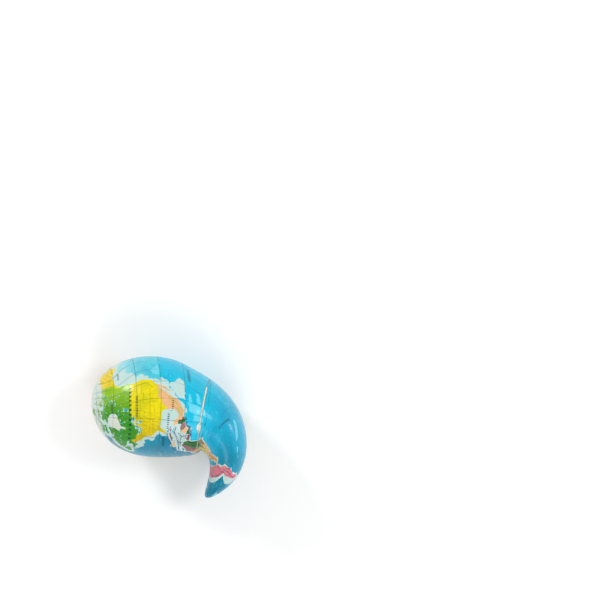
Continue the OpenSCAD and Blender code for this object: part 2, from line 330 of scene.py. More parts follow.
maroon = [
    # Honduras and El Salvador, Panama, Cuba
    [(-90, 13.8), (-89.4, 14.4), (-88.6, 15.8), (-86, 15.9), (-83.3, 15), (-85, 14.2), (-86.7, 13.4),
     (-87.7, 13.1)],
    [(-83, 8.2), (-82.6, 9.5), (-79.8, 9.5), (-77.4, 8.6), (-77.9, 7.3), (-80.3, 7.4)],
    [(-84.9, 21.9), (-82.5, 23.1), (-79, 22.4), (-76, 21), (-74.2, 20.2), (-77.5, 19.9), (-78.3, 21),
     (-81.5, 22.1)],
    # Venezuela, Ecuador, Paraguay
    [(-72.5, 9), (-71.5, 12), (-70, 11.6), (-68, 10.5), (-64, 10.3), (-62, 10.7), (-60, 8.5), (-61, 6.5),
     (-60.7, 5), (-63.5, 3.8), (-64.2, 1.5), (-66.9, 1.2), (-67.8, 2.8), (-67.5, 6.2), (-70, 7)],
    [(-78.9, 1.4), (-75.3, -0.2), (-76, -2.5), (-79, -4.9), (-80.9, -2), (-80, 0.5)],
    [(-62.5, -22), (-58.2, -20), (-57.8, -22), (-54.5, -24), (-54.5, -25.7), (-57.6, -25.5)],
    # Iceland, central Europe, the Guinea coast, India, Borneo
    [(-22.5, 64), (-18.5, 63.4), (-13.6, 65), (-16, 66.4), (-22, 66.3), (-24, 65.3)],
    [(8, 49), (6, 50.8), (8.5, 53.8), (8.5, 57.5), (10.5, 56.5), (11, 54), (19, 54.4), (24, 54.5),
     (24, 50.5), (19, 49.4), (13, 48.5), (10.5, 47.4), (7.5, 47.5)],
    [(-17.3, 14.7), (-11.5, 12.5), (-4, 14), (4, 13.5), (14, 13.5), (14.5, 12), (11.5, 7), (8.7, 4.6),
     (5.5, 4.5), (2.7, 6.3), (-2, 4.8), (-7.6, 4.4), (-13, 8), (-16.5, 12.3)],
    [(78.5, 34.5), (79, 31), (86, 28), (88.5, 26.5), (92, 27.8), (97, 28.3), (94, 24), (92.3, 21),
     (91, 22.5), (88.5, 21.7), (82.3, 16.5), (80.2, 13), (79.8, 10.3), (77.5, 8), (75, 12), (73, 17),
     (72.7, 21), (69, 22.3), (70.5, 25.5), (74, 31), (74, 34)],
    [(109, 1.5), (113, 3.2), (117, 7), (119, 5), (117.8, 1), (116, -4), (110.3, -3)],
]
pink = [
    # Britain, Ireland, Tanzania and Mozambique, Japan, New Zealand
    [(-5.5, 50.1), (1.3, 51.2), (1.6, 52.8), (-0.5, 54.5), (-2, 56), (-3, 58.6), (-6, 57.5), (-5, 55),
     (-4.5, 53)],
    [(-10, 51.7), (-6.3, 52.2), (-6, 54.2), (-8, 55.2), (-10, 54)],
    [(31, 4), (34, 4.5), (34, -1), (39.3, -4.7), (40.5, -10.5), (40.5, -15), (35, -19.8), (35.5, -23.8),
     (32.7, -26), (31.3, -22.3), (33, -16), (30.3, -15.5), (33, -9.4), (30, -8.5), (29.5, -4.4)],
    [(130, 31.4), (132, 33.2), (135.5, 33.5), (140.2, 35), (141.8, 39.5), (140.5, 41.3), (139.5, 38.5),
     (136, 36), (131, 34.3)],
    [(140, 41.7), (143, 42.2), (145.5, 43.3), (142, 45.3)],
    [(172.7, -34.5), (175.5, -36.8), (178.4, -37.7), (175.2, -41.6), (173.8, -39.3)],
    [(172.7, -40.6), (174.2, -41.8), (170.7, -45.9), (166.5, -46)],
]
orange = [
    # Bolivia, Guyana, Argentina, Scandinavia, the Balkans, Turkey, Mongolia, the Horn of Africa, the
    # Philippines
    [(-69, -12.5), (-65.3, -10.5), (-60.2, -16), (-58.2, -20), (-62.5, -22), (-67.8, -22.8),
     (-69.5, -17.5)],
    [(-60, 8.5), (-57.3, 6), (-54, 5.9), (-51.7, 4.2), (-54.5, 2.3), (-58.5, 1.4), (-61, 5)],
    [(-67.8, -22.8), (-62.5, -22), (-57.6, -25.5), (-54, -27), (-57.6, -30.2), (-58.4, -34),
     (-57, -36.5), (-62, -39), (-65, -41), (-67.3, -46), (-65.8, -47.5), (-69, -51), (-68.5, -52.5),
     (-72.5, -50.5), (-71.8, -46), (-71.5, -39), (-70, -33), (-68.5, -27)],
    [(5.2, 59), (8, 58), (11, 59), (12.7, 56), (16.3, 56.5), (18.5, 60), (17.2, 61.5), (21.5, 63.5),
     (24, 65.8), (21.5, 62.5), (21.5, 60.5), (28, 60.5), (31, 62.8), (29.5, 67), (30, 69.6), (25.5, 71),
     (18, 69.5), (12.5, 66), (9.5, 63.5), (5, 62)],
    [(13.7, 46), (16.5, 48), (22.5, 48), (29.5, 45.3), (28, 41.8), (24, 40.7), (23, 38), (21.5, 37),
     (19.5, 41), (16, 43.5)],
    [(26.3, 40), (30, 41.2), (35, 42), (41.5, 41.5), (44.5, 39.7), (42.5, 37.2), (36, 36.5), (27.3, 37)],
    [(87.7, 49.1), (98, 52), (98, 50.3), (108, 49.5), (117, 49.7), (119.9, 46.7), (112, 43.5),
     (105, 41.7), (96.5, 42.8), (91, 45.2)],
    [(38.5, 18), (43, 11.7), (51.3, 11.9), (47.5, 4.5), (41.5, -1.8), (39.3, -4.7), (34, -1), (34, 4.5),
     (30, 9.8), (34, 10.5), (36, 14)],
    [(120.5, 18.4), (122.2, 18.4), (121.7, 14.2), (124, 13), (120.6, 13.8)],
    [(122, 7), (125.5, 9.8), (126.5, 7.3), (124, 6)],
]
# the southern continent on a flat chart round the south pole: degrees from it to the ball's left and to
# its front
polar = {
    "land": [[(-46, 16), (-34, 19), (-25.6, 22), (-16, 23), (-9, 17), (-3, 17.5), (4, 15), (11.5, 16.5),
              (20, 14), (30, 15), (32, 10.5), (20, 10.5), (12, 9), (4.6, 5), (-7, 5.4), (-16, 9.4),
              (-28, 8.5), (-46, 9)]],
    "shelf": [[(-46, 9), (-28, 8), (-16, 9), (-7, 5), (4.6, 4.8), (20, 10.5), (36, 12), (38, 6), (20, 4),
               (9, 2.2), (3, 1), (-10, 2.5), (-24, 4), (-44, 4)]],
    "shine": [[(12, -8), (22, -12), (30, -22), (22, -24), (10, -16)],
              [(-30, -2), (-24, -3), (-30, -12), (-36, -12)]],
    "claims": [[(-4, 8.6), (-17, 22)], [(-4, 8.6), (0, 12), (10, 16)], [(-4, 8.6), (-16, 8)],
               [(-4, 8.6), (4, 4)], [(-4, 8.6), (12, 12), (31, 12)], [(12, 12), (11, 8.5)],
               [(-4, 8.6), (-40, 12)]],
}
# seas printed nearly white: the Gulf, the Caribbean, Hudson Bay, Bering Sea, the coasts of the north-west
# and west, the North Sea, shallow Asia
shallows = [
    [(-97.5, 26), (-97, 20), (-94, 17.5), (-90, 19), (-86.5, 21.5), (-82.5, 24.5), (-83.5, 29),
     (-89, 30), (-95, 29.5)],
    [(-87, 20.5), (-88, 16.2), (-83, 15.8), (-82, 10), (-76, 10.5), (-68, 12.5), (-62, 13), (-63, 17),
     (-72, 17), (-77, 19.5)],
    [(-94, 59), (-92, 57.5), (-82, 55.5), (-80, 51.5), (-77, 55), (-78, 59), (-78, 63), (-90, 63)],
    [(-166, 62), (-172, 60), (-170, 55), (-158, 55), (-160, 59)],
    [(-152, 58), (-140, 60), (-132, 55), (-126, 49), (-126, 43), (-129, 39.5), (-131.5, 42),
     (-129.5, 45.5), (-136, 46), (-142, 51), (-147, 50.5), (-150, 54)],
    [(-127, 18.5), (-124, 15.2), (-106, 15.2), (-106.5, 19.5), (-112, 22.5), (-117, 25.5), (-121, 21)],
    [(-124, 30), (-121, 26), (-117, 25), (-114, 21.5), (-117, 31)],
    [(-1, 61), (-2, 56), (4, 52), (8, 55), (5, 60)],
    [(105, 8), (108, 4), (107, -4), (115, -6), (130, -9), (138, -9), (130, -12), (118, -9)],
    [(118, 38), (122, 30), (127, 34), (125, 38)],
]
# paler and worn patches of open sea, partly painted highlight standing for gloss on the crumpled skin
tintAndSheenPatches = [
    [(-113, 12.8), (-104.5, 12.8), (-105, 11.2), (-112, 11.6)],
    [(-118, 8.2), (-106, 8.2), (-106, 5.8), (-117, 6.6)],
    [(-103.5, 13), (-97, 12.5), (-95, 9), (-97.5, 2.5), (-103.5, 3)],
    [(-94, 10), (-90, 9), (-90, 3), (-94, 4)],
    [(-134, 36), (-128, 34), (-128, 30.6), (-142, 30.6)],
    [(-138, -23), (-142, -24), (-141, -30), (-138, -37), (-133, -40), (-134, -33)],
    [(-134, -45), (-137.5, -44), (-139.5, -49), (-136, -50)],
]
# large lakes and inland seas
lakeShores = [
    [(-92, 46.8), (-88.5, 48.7), (-84.8, 47), (-88, 46.7)],
    [(-87.8, 42), (-86.3, 42.2), (-85.6, 45.7), (-87.6, 45)],
    [(-83.4, 43.6), (-81.5, 43.4), (-80.6, 45.6), (-84, 46)],
    [(-83.2, 41.6), (-79, 42.5), (-76.3, 43.4), (-77, 44.1), (-79.4, 43.7), (-81.4, 42.6)],
    [(-98.5, 50.6), (-96.4, 50.6), (-97, 53.6), (-99.8, 53.2)],
    [(-116, 61), (-109.5, 62.6), (-112, 60.8)],
    [(-124.5, 65.4), (-119, 65.4), (-118, 67), (-123, 66.8)],
    [(-110, 58.6), (-104.5, 58.8), (-107, 59.4)],
    [(28, 41.5), (30, 45.8), (34, 44.5), (38.5, 44.3), (41, 41.8), (35, 42.2), (31, 41.2)],
    [(47.5, 44), (51, 47), (53, 45), (51.5, 42), (53.5, 37.5), (50, 37.5), (49.5, 41)],
    [(31.8, 0.2), (34, 0), (33.5, -2.4), (31.9, -2)], [(104, 51.8), (109.5, 55.5), (108, 53)],
]
# a sea and a land printed as ice: Hudson Bay and Greenland
iceSheets = [
    [(-94, 58.8), (-92.5, 57.3), (-85.5, 55.4), (-82.3, 55), (-82, 52.9), (-80, 51.4), (-78.9, 52.5),
     (-79.2, 54.8), (-77, 56.5), (-78.5, 60), (-80, 62.3), (-86, 63.4), (-91.5, 62.6)],
    [(-73, 78.2), (-68, 75.9), (-58, 75.5), (-54.5, 71), (-51, 69), (-53.7, 66.5), (-50, 61.5),
     (-43.5, 60), (-41, 63), (-39, 65.5), (-32, 68), (-23, 70.3), (-21.5, 74), (-19, 77), (-17, 80),
     (-32, 83.5), (-48, 82.2), (-62, 81.2)],
]
# tracks of thin lines: states and provinces
stateLines = [
    [(-120, 42), (-111, 42), (-111, 45), (-104, 45), (-104, 41), (-102, 41), (-102, 37), (-94.6, 37),
     (-94.6, 40.6), (-91.7, 40.6)],
    [(-114, 42), (-114, 37), (-114.6, 35)], [(-120, 42), (-120, 39), (-114.6, 35)],
    [(-111, 41), (-102, 41)], [(-114, 37), (-102, 37)], [(-109, 41), (-109, 31.5)],
    [(-103, 37), (-103, 32), (-106.5, 32)],
    [(-100, 37), (-100, 34.5), (-94.4, 33.6), (-94.4, 30)],
    [(-117, 49), (-117, 46), (-119.3, 46), (-124, 46.2)],
    [(-116, 49), (-116, 48), (-114.4, 45.5), (-111.5, 44.5)], [(-104, 49), (-104, 45)],
    [(-104, 46), (-96.5, 46), (-97, 49)], [(-96.5, 46), (-96.5, 43.5), (-91.2, 43.5)],
    [(-104, 43), (-98.5, 43), (-96.4, 42.5), (-95.3, 40)], [(-90.6, 42.5), (-87.5, 42.5)],
    [(-92, 46.7), (-92.8, 45), (-91.2, 43.5), (-90.6, 42.5), (-91.5, 40.5), (-89.2, 37), (-90, 35),
     (-91.2, 33), (-91.5, 31), (-89.6, 30.3)],
    [(-89.2, 37), (-84.8, 39.1), (-82.3, 38.5), (-80.5, 40.6), (-80.5, 42)], [(-87.5, 42), (-87.5, 38)],
    [(-84.8, 41.7), (-84.8, 39.1)], [(-94.6, 36.5), (-90, 36.5), (-83.7, 36.6), (-76, 36.6)],
    [(-90.3, 35), (-83.1, 35), (-79.7, 34.8), (-78.6, 33.9)], [(-88.2, 35), (-88.4, 30.3)],
    [(-85.5, 35), (-85, 31), (-87.5, 31)], [(-85, 30.9), (-82.2, 30.5)], [(-83.1, 35), (-81, 32)],
    [(-83.7, 36.6), (-80, 37.5), (-77.5, 39)], [(-80.5, 39.7), (-75.8, 39.7), (-75, 41.5), (-79.8, 42)],
    [(-73.4, 45), (-73.3, 41)],
    [(-120, 60), (-120, 54), (-114, 49)], [(-110, 60), (-110, 49)], [(-102, 60), (-101.4, 49)],
    [(-139, 60), (-95, 60), (-95, 53), (-89, 57)], [(-79.5, 51.5), (-79.5, 47), (-76, 45.3)],
    [(-64.5, 60.3), (-66.5, 55), (-64, 52), (-57, 52)],
    [(-102, 60), (-102, 64.5), (-110, 65), (-120, 69)],
    [(-134, 60), (-136.5, 67.5)], [(-94.6, 48.7), (-95.2, 52.8)],
    [(-106.5, 31.8), (-107, 26), (-104, 24), (-103, 21), (-100, 19)], [(-101, 25), (-99, 22), (-98, 19)],
]
# round the islands, and off the isthmus
seaLines = [
    [(-86, 22.5), (-83, 24), (-79, 24.5), (-74, 22), (-70, 20.5), (-64, 19), (-61, 16.5), (-60.5, 13),
     (-62, 11)],
    [(-86, 19), (-82, 19.5), (-79, 17), (-75, 15.5), (-70, 15), (-65, 15.5)],
    [(-82, 16), (-80, 13), (-81.5, 10.5)], [(-75, 15.5), (-74, 13)],
    [(-92.5, 14), (-88, 12.4), (-86, 9.6), (-82, 7.4)],
]
# rows of small blank marks where a map has its names: longitude, latitude, half length, half height, all
# in degrees
marks = [
    (-101, 60.8, 6.5, 0.8), (-100, 45.1, 9.5, 0.85), (-100.5, 22.4, 3.4, 0.6), (-72, 27, 4.6, 1),
    (-146, 56.5, 4, 0.7), (-89.5, 24.8, 5.5, 0.7), (-91, 15.6, 2.4, 0.5), (-83.5, 10.4, 4.5, 0.5),
    (-82.5, -1.2, 2, 0.6), (-75, 13.5, 5, 0.6), (-55, -9, 7, 0.9), (-73, 4, 3, 0.5), (-140, 12, 12, 1),
    (-120, -22, 12, 1), (-30, 35, 10, 1), (-20, -20, 10, 1), (100, 62, 18, 1.1), (105, 34, 9, 1),
    (78, 22, 4, 0.7), (134, -25, 9, 1), (3, 27, 6, 0.7), (22, -1, 5, 0.7), (75, -25, 10, 1),
    (45, 24, 5, 0.7), (-64, -35, 4, 0.6), (-91, -0.5, 1, 0.6), (165, 25, 12, 1),
]
print("map outlines:", sum(map(len, (green, yellow, peach, darkGreen, maroon, pink, orange))))


def toTrack(lon, lat, track, closed, reach):
    # least distance in degrees from each place to a track of straight stretches, with longitude narrowed
    # by the cosine of latitude; inside a closed track it is negative, by the even-odd rule; beyond the
    # reach it is the reach
    starts = np.array(track, float)
    ends = np.roll(starts, -1, 0) if closed else starts[1:]
    starts = starts if closed else starts[:-1]
    span = ends - starts
    found = np.full(len(lon), float(reach))
    low, high = np.minimum(starts, ends).min(0), np.maximum(starts, ends).max(0)
    wide = reach / np.clip(np.cos(np.radians(lat)), 0.05, 1)
    level = (lat > low[1] - reach) & (lat < high[1] + reach)
    for shift in (-360, 0, 360):
        x = lon + shift
        near = np.nonzero((x > low[0] - wide) & (x < high[0] + wide) & level)[0]
        if not len(near):
            continue
        px, py = x[near][:, None], lat[near][:, None]
        narrow = np.cos(np.radians(py))
        dx, dy = span[:, 0] * narrow, span[:, 1] + 0 * narrow
        ox, oy = (px - starts[:, 0]) * narrow, py - starts[:, 1]
        share = np.clip((ox * dx + oy * dy) / (dx * dx + dy * dy + 1e-12), 0, 1)
        gap = np.hypot(ox - share * dx, oy - share * dy).min(1)
        if closed:
            crosses = (starts[:, 1] > py) != (ends[:, 1] > py)
            rise = np.where(span[:, 1] == 0, 1, span[:, 1])
            meets = starts[:, 0] + (py - starts[:, 1]) * span[:, 0] / rise
            inside = (crosses & (px < meets)).sum(1) % 2 == 1
            gap = np.where(inside, -gap, gap)
        found[near] = np.minimum(found[near], gap)
    return found


def toAny(lon, lat, tracks, closed=True, reach=6.0):
    # the least of the distances to several tracks
    found = np.full(len(lon), float(reach))
    for track in tracks:
        found = np.minimum(found, toTrack(lon, lat, track, closed, reach))
    return found


def onCap(x, y, tracks, closed=True, reach=6.0):
    # the same on the flat polar chart, which is shrunk to lie next to the equator, where degrees are
    # square
    shrink = 10
    small = [[(a / shrink, b / shrink) for a, b in track] for track in tracks]
    return toAny(x / shrink, y / shrink, small, closed, reach / shrink) * shrink


# how the print has crept as the ball was squeezed: where (degrees north and east), how far that reaches
# both ways, and the degrees that it has moved, north and east
creep = ((40, -100, 26, 60, 5, 6), (10, -128, 22, 34, 2.5, 10), (60, -132, 15, 20, 1, -17),
         (9, -75, 11, 15, -3.5, -2), (-30, -66, 22, 22, 20, -6), (-6, -105, 14, 20, 4.5, 8.5))


def wrapped(degrees):
    # degrees of longitude brought between -180 and 180
    return (degrees + 180) % 360 - 180


def printedPlace(lat, lon):
    # the place on the map that is printed at a place on the ball: the place plus a bell-shaped creep for
    # each entry
    movedLat, movedLon = lat.copy(), lon.copy()
    for north, east, reachN, reachE, moveN, moveE in creep:
        near = np.exp(-((lat - north) / reachN) ** 2 - (wrapped(lon - east) / reachE) ** 2)
        movedLat += moveN * near
        movedLon += moveE * near
    return np.clip(movedLat, -90, 90), wrapped(movedLon)


def nearestMark(lon, lat):
    # how far along and across its nearest mark each place is, in half lengths and half heights
    far, tall = 9.0, 3
    along, across = np.full(len(lon), far), np.full(len(lon), far)
    for x, y, halfLong, halfHigh in marks:
        dx, dy = wrapped(lon - x) / halfLong, (lat - y) / halfHigh
        closer = np.maximum(abs(dx), abs(dy) / tall) < np.maximum(abs(along), abs(across) / tall)
        along, across = np.where(closer, dx, along), np.where(closer, dy, across)
    return np.clip(along, -far, far), np.clip(across, -far, far)


def printMap(piece, lat, turn):
    # each ink's signed distance, in degrees: below zero is printed; lines are open tracks with a shorter
    # reach
    lineReach = 3
    capX = (90 + lat) * np.sin(np.radians(turn))
    capY = (90 + lat) * np.cos(np.radians(turn))
    lat, lon = printedPlace(lat, ball["frontLongitude"] - turn)
    piece.data.attributes["globe"].data.foreach_set("vector", toGlobe(lat, lon).astype(np.float32).ravel())
    southLand = onCap(capX, capY, polar["land"])
    shapes = {"inkGreen": green, "inkYellow": yellow, "inkPeach": peach, "inkDarkGreen": darkGreen,
              "inkMaroon": maroon, "inkPink": pink, "inkOrange": orange}
    gaps = {name: toAny(lon, lat, tracks) for name, tracks in shapes.items()}
    gaps["inkPink"] = np.minimum(gaps["inkPink"], southLand)
    gaps["land"] = np.minimum.reduce(list(gaps.values()))
    gaps["shallow"] = np.minimum(toAny(lon, lat, shallows), onCap(capX, capY, polar["shelf"]))
    gaps["tintAndSheen"] = np.minimum(toAny(lon, lat, tintAndSheenPatches), onCap(capX, capY, polar["shine"]))
    gaps["iceSheet"] = toAny(lon, lat, iceSheets)
    gaps["lakeShore"] = toAny(lon, lat, lakeShores)
    gaps["stateLine"] = toAny(lon, lat, stateLines, False, lineReach)
    gaps["seaLine"] = np.minimum(toAny(lon, lat, seaLines, False, lineReach),
                                 onCap(capX, capY, polar["claims"], False, lineReach))
    gaps["markAlong"], gaps["markAcross"] = nearestMark(lon, lat)
    for name, gap in gaps.items():
        attribute(piece, name, gap)
    print("printed", piece.name, len(gaps), "inks, lines and marks on", len(lat), "vertices")


def toLinear(r, g, b):
    # screen colour from 0 to 255, to the shader's linear colour: the standard screen curve
    c = np.array([r, g, b]) / 255
    c = np.where(c <= 0.04045, c / 12.92, ((c + 0.055) / 1.055) ** 2.4)
    return (*[round(float(x), 4) for x in c], 1)


class Weave:
    # lays the nodes of one material in rows and links them
    def __init__(self, name):
        self.material = bpy.data.materials.new(name)
        self.material.use_nodes = True
        self.tree = self.material.node_tree
        self.shader = self.tree.nodes["Principled BSDF"]
        self.count = 0

    def add(self, kind, **settings):
        # a new node with its settings, placed after the last one
        node = self.tree.nodes.new(kind)
        node.location = (-200 - 180 * (self.count % 12), 300 - 220 * (self.count // 12))
        self.count += 1
        for key, value in settings.items():
            setattr(node, key, value)
        return node

    def wire(self, value, socket):
        # an output is linked to the socket, and a plain value is set on it
        if isinstance(value, bpy.types.NodeSocket):
            self.tree.links.new(value, socket)
        else:
            socket.default_value = value

    def finish(self, **values):
        # plain values set on the surface shader's own sockets
        for name, value in values.items():
            self.shader.inputs[name.replace("_", " ")].default_value = value

    def read(self, name, vector=False):
        # what attribute() stored
        node = self.add("ShaderNodeAttribute", attribute_type="GEOMETRY", attribute_name=name)
        return node.outputs["Vector" if vector else "Fac"]

    def math(self, operation, *values):
        # one operation on one value or two
        node = self.add("ShaderNodeMath", operation=operation)
        for value, socket in zip(values, node.inputs):
            self.wire(value, socket)
        return node.outputs[0]

    def chain(self, operation, values):
        # the operation on the first two values, then on that and the next
        total = values[0]
        for value in values[1:]:
            total = self.math(operation, total, value)
        return total

    def times(self, *values):
        # the product of all values
        return self.chain("MULTIPLY", values)

    def plus(self, *values):
        # the sum of all values
        return self.chain("ADD", values)

    def most(self, *values):
        # the largest of all values
        return self.chain("MAXIMUM", values)

    def aside(self, value, middle=0):
        # the value's distance from the middle
        return self.math("ABSOLUTE", self.plus(value, -middle) if middle else value)

    def noise(self, where, scale, detail=4.0, rough=0.55):
        # cloudy noise round one half
        node = self.add("ShaderNodeTexNoise")
        self.wire(where, node.inputs["Vector"])
        node.inputs["Scale"].default_value = scale
        node.inputs["Detail"].default_value = detail
        node.inputs["Roughness"].default_value = rough
        return node.outputs["Fac"]

    def step(self, value, low, high, start=0.0, end=1.0):
        # value from low to high becomes start to end in proportion, held at both ends
        node = self.add("ShaderNodeMapRange")
        inputs = {"Value": value, "From Min": low, "From Max": high, "To Min": start, "To Max": end}
        for socket, given in inputs.items():
            self.wire(given, node.inputs[socket])
        return node.outputs[0]

    def mix(self, share, under, over):
        # under times what is left of the share, plus over times the share
        node = self.add("ShaderNodeMix", data_type="RGBA", blend_type="MIX")
        self.wire(share, node.inputs[0])
        self.wire(under, node.inputs[6])
        self.wire(over, node.inputs[7])
        return node.outputs[2]

    def scaled(self, where, scale):
        # the place times a scale for each axis
        node = self.add("ShaderNodeMapping")
        self.wire(where, node.inputs["Vector"])
        node.inputs["Scale"].default_value = scale
        return node.outputs[0]

    def bump(self, height, strength, distance):
        # the surface's normal, tilted by the slope of a height
        node = self.add("ShaderNodeBump")
        node.inputs["Strength"].default_value = strength
        node.inputs["Distance"].default_value = distance
        self.wire(height, node.inputs["Height"])
        self.wire(node.outputs[0], self.shader.inputs["Normal"])


# screen colours of the inks; the sea's northern tones are print tone plus painted sheen, its southern tones
# painted shade
inkTones = {
    "west": (158, 206, 34), "east": (38, 150, 30), "yellow": (246, 226, 0), "amber": (226, 190, 0),
    "peach": (246, 190, 138), "darkGreen": (8, 98, 44), "maroon": (150, 84, 104), "pink": (234, 116, 150),
    "orange": (222, 150, 92), "seaArcticAndSheen": (164, 218, 222), "seaNorthAndSheen": (112, 208, 222),
    "seaMid": (74, 206, 222), "seaTropic": (0, 196, 230), "seaSouthShade": (0, 170, 208),
    "seaPolarShade": (0, 124, 150), "atlantic": (0, 118, 150), "shelf": (204, 228, 220), "ice": (220, 226, 212),
    "line": (0, 92, 118), "dark": (28, 34, 58), "bare": (236, 240, 230),
}
# screen colours laid over them, which the depth doesn't darken; the tint and the rub are partly painted
# highlight
overTones = {
    "cloud": (40, 206, 240), "streak": (0, 142, 196), "rubAndSheen": (120, 214, 232), "tintAndSheen": (122, 214, 230),
    "fleck": (108, 200, 216), "mottle": (90, 150, 0), "lake": (40, 160, 160), "hatch": (226, 160, 58),
    "stateLine": (84, 104, 0), "landGrid": (92, 116, 10), "seaLine": (58, 36, 96),
}
# the print: a pair gives where a change begins and where it is whole, mostly in degrees; shares go from 0
# to 1
look = {
    "depth": 0.93,  # darkens every ink alike
    "ragged": 0.55, "wobble": 1.6, "wobbleShare": 0.6,  # degrees that outlines and tints stray
    # the sea: lighter to the north partly as painted sheen, darker to the south as painted shade
    "seaBounds": {"seaMid": (29.6, 30.6), "seaNorthAndSheen": (36, 46), "seaArcticAndSheen": (46, 52), "seaSouthShade": (4, -16),
                  "seaPolarShade": (-30, -74)},
    "atlanticWest": (-72, -67), "atlanticEast": (24, 12), "atlanticSouth": (-30, -20),
    "atlanticLean": 0.35, "atlanticShare": 0.85,
    "streakScale": (5, 5, 16), "clouds": (0.5, 0.7, 0, 0.22), "streaks": (0.5, 0.66, 0, 0.3),
    # pale rubs, partly worn ink and partly painted highlight
    "rubsAndSheen": (0.58, 0.68, 0, 0.3),
    # coasts and ice; the tint is partly painted highlight
    "shelf": (2.9, 2.5), "shelfNorth": (20, 50, 0.55, 1), "shelfTropic": (24, 12, 1, 0.5),
    "shelfShare": 0.92, "shallow": (0.25, -0.05), "tintAndSheen": (0.2, -0.1), "tintAndSheenShare": 0.6,
    "sheet": (0.2, 0.0), "paleNorth": (63, 68), "flecks": (0.58, 0.63), "fleckShare": 0.4,
    # land
    "westToEast": (-124, -92), "westWobble": 4, "yellowToAmber": (-96, -72),
    "inkEdge": (0.16, 0.04), "inkRagged": 0.7, "shore": (0.1, 0.0), "mottle": (0.4, 0.62, 0.0, 0.28),
    # the north
    "lakesNorth": (50, 53), "lakesEast": (-128, -122), "lakeEdge": (0.25, 0.05), "lakeRagged": 0.6,
    "frozenNorth": (66, 71), "frozenShare": 0.85,
    "hatchWest": (-140.6, -141), "hatchLean": 1.2, "hatchWaves": 1.5, "hatchShare": 0.7,
    # lines
    "stateEdge": (0.36, 0.12), "stateShare": 0.36,
    "borderAt": 0.1, "borderEdge": (0.32, 0.1), "inland": (-0.25, -0.5), "borderShare": 0.42,
    "gridEvery": 15, "gridEdge": (0.4, 0.16), "gridPole": (79.5, 80, 1, 0), "gridSouth": (-22, -4, 0.4, 1),
    "gridShare": 0.5, "seaLineEdge": (0.62, 0.34), "seaLineShare": 0.8,
    # bold dots and blank marks
    "dotLat": 49.1, "dotEdge": (0.95, 0.6), "dotWest": (-123.5, -123), "dotEast": (-69, -69.5),
    "dotWaves": 1.4, "markWaves": 4.6, "markShare": 0.85,
    # wear, and flecks that are partly rubbed ink and partly painted highlight
    "crackScale": (14, 14, 30), "crackEdge": (0.03, 0.012), "crackLat": (22, 4), "crackLon": (30, 8),
    "crackAt": -62, "crackShare": 0.7, "rubbedAndSheen": (0.69, 0.715), "rubbedAndSheenShare": 0.5,
}


def inkColors():
    # every colour in the shader's linear values, with the inks darkened by the depth
    color = {name: toLinear(*(part * look["depth"] for part in tone)) for name, tone in inkTones.items()}
    color.update({name: toLinear(*tone) for name, tone in overTones.items()})
    return color


def printPlaces(w):
    # latitude is the arcsine of z and longitude the arctangent of y over x; two noises stray from them
    globe = w.read("globe", True)
    parts = w.add("ShaderNodeSeparateXYZ")
    w.wire(globe, parts.inputs[0])
    x, y, z = parts.outputs
    ragged, wobble = look["ragged"], look["wobble"]
    at = {"globe": globe, "lat": w.math("DEGREES", w.math("ARCSINE", z))}
    at["lon"] = w.math("DEGREES", w.math("ARCTAN2", y, x))
    at["ragged"] = w.step(w.noise(globe, 26, 6, 0.62), 0.3, 0.7, -ragged, ragged)
    at["wobble"] = w.step(w.noise(globe, 7, 3), 0.3, 0.7, -wobble, wobble)
    at["uneven"] = w.plus(at["lat"], w.times(at["wobble"], look["wobbleShare"]))
    at["land"] = w.read("land")
    at["rough"] = w.plus(at["land"], at["ragged"])
    at["onLand"] = w.step(at["rough"], *look["shore"])
    return at


def seaTint(w, at, color):
    # tones by latitude with almost sharp bounds, lighter to the north partly as painted sheen and darker to
    # the south as painted shade, darker in the Atlantic, then clouds, streaks and rubs from noises, the
    # rubs partly painted highlight
    sea = color["seaTropic"]
    # painted sheen to the north and painted shade to the south, by latitude
    for tone, bound in look["seaBounds"].items():
        sea = w.mix(w.step(at["uneven"], *bound), sea, color[tone])
    west = w.step(w.plus(at["lon"], w.times(at["uneven"], look["atlanticLean"])), *look["atlanticWest"])
    east = w.step(at["lon"], *look["atlanticEast"])
    south = w.step(at["uneven"], *look["atlanticSouth"])
    sea = w.mix(w.times(west, east, south, look["atlanticShare"]), sea, color["atlantic"])
    flat = w.scaled(at["globe"], look["streakScale"])
    sea = w.mix(w.step(w.noise(at["globe"], 3.4, 4), *look["clouds"]), sea, color["cloud"])
    sea = w.mix(w.step(w.noise(flat, 1.2, 6, 0.6), *look["streaks"]), sea, color["streak"])
    # pale rubs: partly worn ink, partly painted highlight
    return w.mix(w.step(w.noise(flat, 1.5, 6, 0.62), *look["rubsAndSheen"]), sea, color["rubAndSheen"])


def shelvesAndIce(w, at, color, sea):
    # pale shelves along every coast, wider to the north, and in the shallow seas, with flecks of open
    # water; then ice
    outer, whole = look["shelf"]
    wide = w.times(w.step(at["lat"], *look["shelfNorth"]), w.step(w.aside(at["lat"]), *look["shelfTropic"]))
    shelf = w.step(w.plus(at["rough"], at["wobble"]), w.times(wide, outer), w.times(wide, whole))
    shallow = w.step(w.plus(w.read("shallow"), at["ragged"]), *look["shallow"])
    pale = w.most(shelf, shallow, w.step(at["uneven"], *look["paleNorth"]))
    # paler patches, partly painted highlight
    tintAndSheen = w.step(w.plus(w.read("tintAndSheen"), at["ragged"]), *look["tintAndSheen"])
    tone = w.mix(w.times(tintAndSheen, look["tintAndSheenShare"]), sea, color["tintAndSheen"])
    tone = w.mix(w.times(pale, look["shelfShare"]), tone, color["shelf"])
    flecks = w.step(w.noise(at["globe"], 34, 3), *look["flecks"])
    tone = w.mix(w.times(flecks, pale, look["fleckShare"]), tone, color["fleck"])
    return w.mix(w.step(w.plus(w.read("iceSheet"), at["ragged"]), *look["sheet"]), tone, color["ice"])


